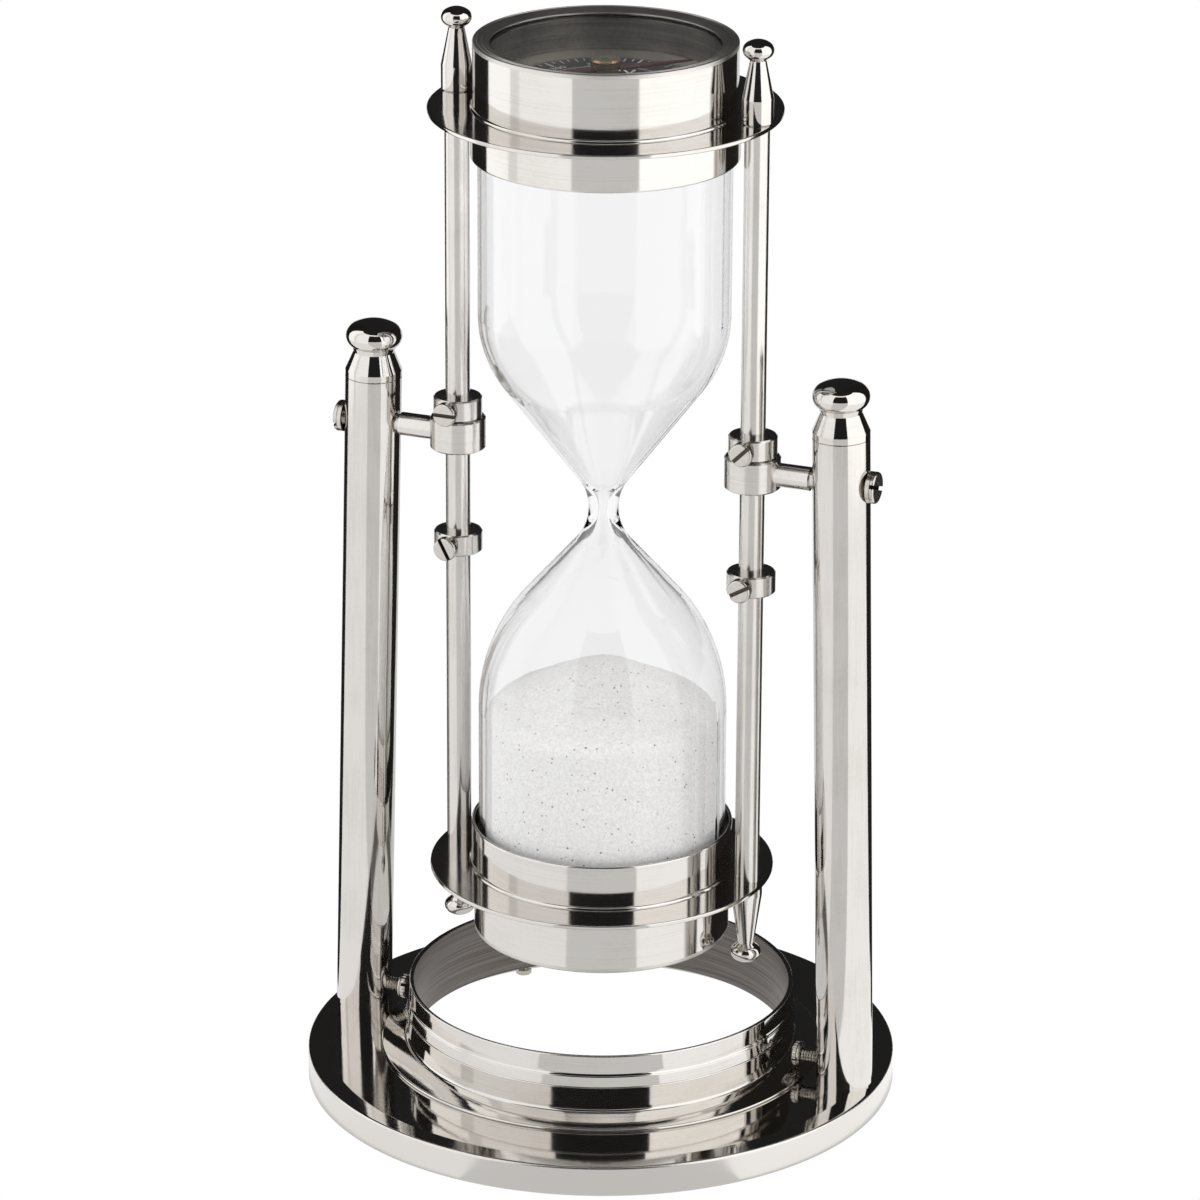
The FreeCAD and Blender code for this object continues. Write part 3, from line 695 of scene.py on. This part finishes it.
def printed(bm, text, size, radius, deg, z):
    """A word laid flat on the dial, its top toward the rim; deg is clockwise from the dial's north."""
    curve = bpy.data.curves.new("word", "FONT")
    curve.body = text
    curve.size = size
    curve.align_x = "CENTER"
    curve.align_y = "CENTER"
    curve.resolution_u = 3
    holder = bpy.data.objects.new("word", curve)
    mesh = bpy.data.meshes.new_from_object(holder)
    turn = Matrix.Rotation(math.radians(-deg), 4, "Z") @ Matrix.Translation((0, radius, z))
    mesh.transform(turn)
    bm.from_mesh(mesh)
    bpy.data.objects.remove(holder)
    bpy.data.curves.remove(curve)


def tick(bm, r0, r1, width, deg, z):
    """Flat stroke along a radius."""
    turn = Matrix.Rotation(math.radians(-deg), 4, "Z")
    corners = [(-width / 2, r0, z), (width / 2, r0, z), (width / 2, r1, z), (-width / 2, r1, z)]
    bm.faces.new([bm.verts.new(turn @ Vector(c)) for c in corners])


def dial_print(name, body, under):
    """Degree ticks, numbers and compass letters on one dial."""
    bm = bmesh.new()
    z = DIAL_FACE_Z + PRINT_LIFT
    for deg in range(0, 360, 5):
        bold = deg % 30 == 0
        length = TICK_THIRTY if bold else (TICK_TEN if deg % 10 == 0 else TICK_FIVE)
        tick(bm, DIAL_PRINT_R - length, DIAL_PRINT_R, TICK_BOLD if bold else TICK_FINE, deg, z)
    for deg in range(0, 360, 30):
        printed(bm, str(deg), NUMBER_SIZE, NUMBER_R, deg, z)
    for deg, letter in ((0, "N"), (90, "E"), (180, "S"), (270, "W")):
        printed(bm, letter, LETTER_SIZE, LETTER_R, deg, z)
    for deg, letters in ((45, "NE"), (135, "SE"), (225, "SW"), (315, "NW")):
        printed(bm, letters, PAIR_SIZE, PAIR_R, deg, z)
    turned_mesh(bm, [(HOOP_R, z), (HOOP_R + HOOP_W, z)], 96)
    if under:
        bmesh.ops.transform(bm, matrix=turned_over(), verts=bm.verts[:])
    return new_piece(name, bm, white_print, body)


def turned_over():
    """Half turn about the X axis through the middle of the cage."""
    middle = Matrix.Translation((0, 0, MIDDLE_Z))
    return middle @ Matrix.Rotation(math.pi, 4, "X") @ middle.inverted()


def hub_jewel(name, body, under):
    """Domed green jewel let into the top of a needle's hub."""
    bm = bmesh.new()
    turns = [math.radians(15 * i) for i in range(6)]
    profile = [(JEWEL_R * math.cos(a), HUB_CENTRE_Z + JEWEL_RISE * math.sin(a)) for a in turns]
    profile.append((0.0, HUB_CENTRE_Z + JEWEL_RISE))
    turned_mesh(bm, profile, 32)
    if under:
        bmesh.ops.transform(bm, matrix=turned_over(), verts=bm.verts[:])
    return new_piece(name, bm, jewel_green, body, smooth=True)


build_turned_parts()
build_sand()
for end, under in (("_top", False), ("_bottom", True)):
    dial_print("dial_print" + end, "cage", under)
    hub_jewel("hub_jewel" + end, "compass_needle" + end, under)


# ---- studio -------------------------------------------------------------
def facing(deg):
    """Unit vector on the ground, turned from the camera's direction toward the right of the picture."""
    a = math.radians(deg)
    toward = Vector((math.sin(VIEW_YAW), -math.cos(VIEW_YAW), 0))
    right = Vector((math.cos(VIEW_YAW), math.sin(VIEW_YAW), 0))
    return toward * math.cos(a) + right * math.sin(a)


def staged(name, points, faces, material):
    """Part of the studio, made from points and faces."""
    mesh = bpy.data.meshes.new(name)
    mesh.from_pydata(points, [], faces)
    mesh.materials.append(material)
    piece = bpy.data.objects.new(name, mesh)
    bpy.context.scene.collection.objects.link(piece)
    return piece


def arc_wall(name, radius, deg0, deg1, z0, z1, material, steps=40):
    """Upright curved panel that the camera doesn't see."""
    points = []
    for i in range(steps + 1):
        ground = facing(deg0 + (deg1 - deg0) * i / steps) * radius
        points += [ground + Vector((0, 0, z0)), ground + Vector((0, 0, z1))]
    faces = [(2 * i, 2 * i + 2, 2 * i + 3, 2 * i + 1) for i in range(steps)]
    wall = staged(name, points, faces, material)
    hide_from(wall, "camera")
    return wall


def ground_card(name, deg0, deg1, material, inner_r, steps=30):
    """Flat sector on the floor that only polished metal mirrors."""
    points = []
    for i in range(steps + 1):
        ground = facing(deg0 + (deg1 - deg0) * i / steps)
        points += [ground * inner_r, ground * GROUND_REACH_R]
    faces = [(2 * i, 2 * i + 1, 2 * i + 3, 2 * i + 2) for i in range(steps)]
    card = staged(name, points, faces, material)
    card.location.z = -GROUND_DROP
    hide_from(card, "camera", "transmission", "diffuse", "shadow")


def build_floor():
    """Evenly lit white table: paper white to the camera, a little darker in reflections."""
    mat = emission_material("pale_floor", FLOOR_SEEN)
    tree = mat.node_tree
    path = add(tree, "LightPath")
    seen = maths(tree, "MAXIMUM", path.outputs["Is Camera Ray"], path.outputs["Is Transmission Ray"])
    strength = mix_value(tree, seen, FLOOR_MIRRORED, FLOOR_SEEN)
    put(tree, tree.nodes["Emission"].inputs["Strength"], strength)
    h = FLOOR_HALF
    floor = staged("floor", [(-h, -h, 0), (h, -h, 0), (h, h, 0), (-h, h, 0)], [(0, 1, 2, 3)], mat)
    floor.location.z = -FLOOR_DROP


def build_lights():
    """Softboxes and lit ground, with black cards behind that the metal's dark edges mirror."""
    for name, (deg0, deg1, strength) in LIT_GROUND.items():
        ground_card(name, deg0, deg1, emission_material(name, strength), LIT_GROUND_R)
    for name, (deg0, deg1, strength) in SOFTBOXES.items():
        arc_wall(name, PANEL_R, deg0, deg1, PANEL_LOW, STUDIO_TOP, emission_material(name, strength))
    bridge = emission_material("softbox_bridge", BRIDGE_LIGHT)
    arc_wall("softbox_bridge", PANEL_R, -BRIDGE_HALF_DEG, BRIDGE_HALF_DEG, BRIDGE_LOW, STUDIO_TOP, bridge)
    black = emission_material("black_card", BLACK_LIGHT, (1.0, 0.9, 0.8, 1))
    for name, (deg0, deg1) in BLACK_CARDS.items():
        card = arc_wall(name, CARD_R, deg0, deg1, PANEL_LOW, STUDIO_TOP, black)
        hide_from(card, "diffuse", "transmission", "shadow")
        ground_card("ground_" + name, deg0, deg1, black, BLACK_GROUND_R)


def build_sky():
    """Even white light on matt surfaces, almost black in polished metal."""
    world = bpy.data.worlds.new("studio")
    bpy.context.scene.world = world
    world.use_nodes = True
    tree = world.node_tree
    sky = tree.nodes["Background"]
    sky.inputs["Color"].default_value = (1, 1, 1, 1)
    path = add(tree, "LightPath")
    mirrored = mix_value(tree, path.outputs["Is Transmission Ray"], SKY_MIRRORED, SKY_THROUGH_GLASS)
    put(tree, sky.inputs["Strength"],
        mix_value(tree, path.outputs["Is Glossy Ray"], SKY_ON_MATT, mirrored))


def build_camera():
    away = facing(0) * math.cos(VIEW_ELEVATION) + Vector((0, 0, math.sin(VIEW_ELEVATION)))
    camera = bpy.data.objects.new("camera", bpy.data.cameras.new("camera"))
    bpy.context.scene.collection.objects.link(camera)
    look = (-away).to_track_quat("-Z", "Y").to_matrix().to_4x4()
    roll = Matrix.Rotation(VIEW_ROLL, 4, "Z")
    camera.matrix_world = Matrix.Translation(TARGET + away * VIEW_DISTANCE) @ look @ roll
    camera.data.lens = LENS_MM
    camera.data.shift_x, camera.data.shift_y = SHIFT
    camera.data.clip_end = 50
    bpy.context.scene.camera = camera
    bpy.context.scene.view_settings.view_transform = "Standard"


build_floor()
build_lights()
build_sky()
build_camera()
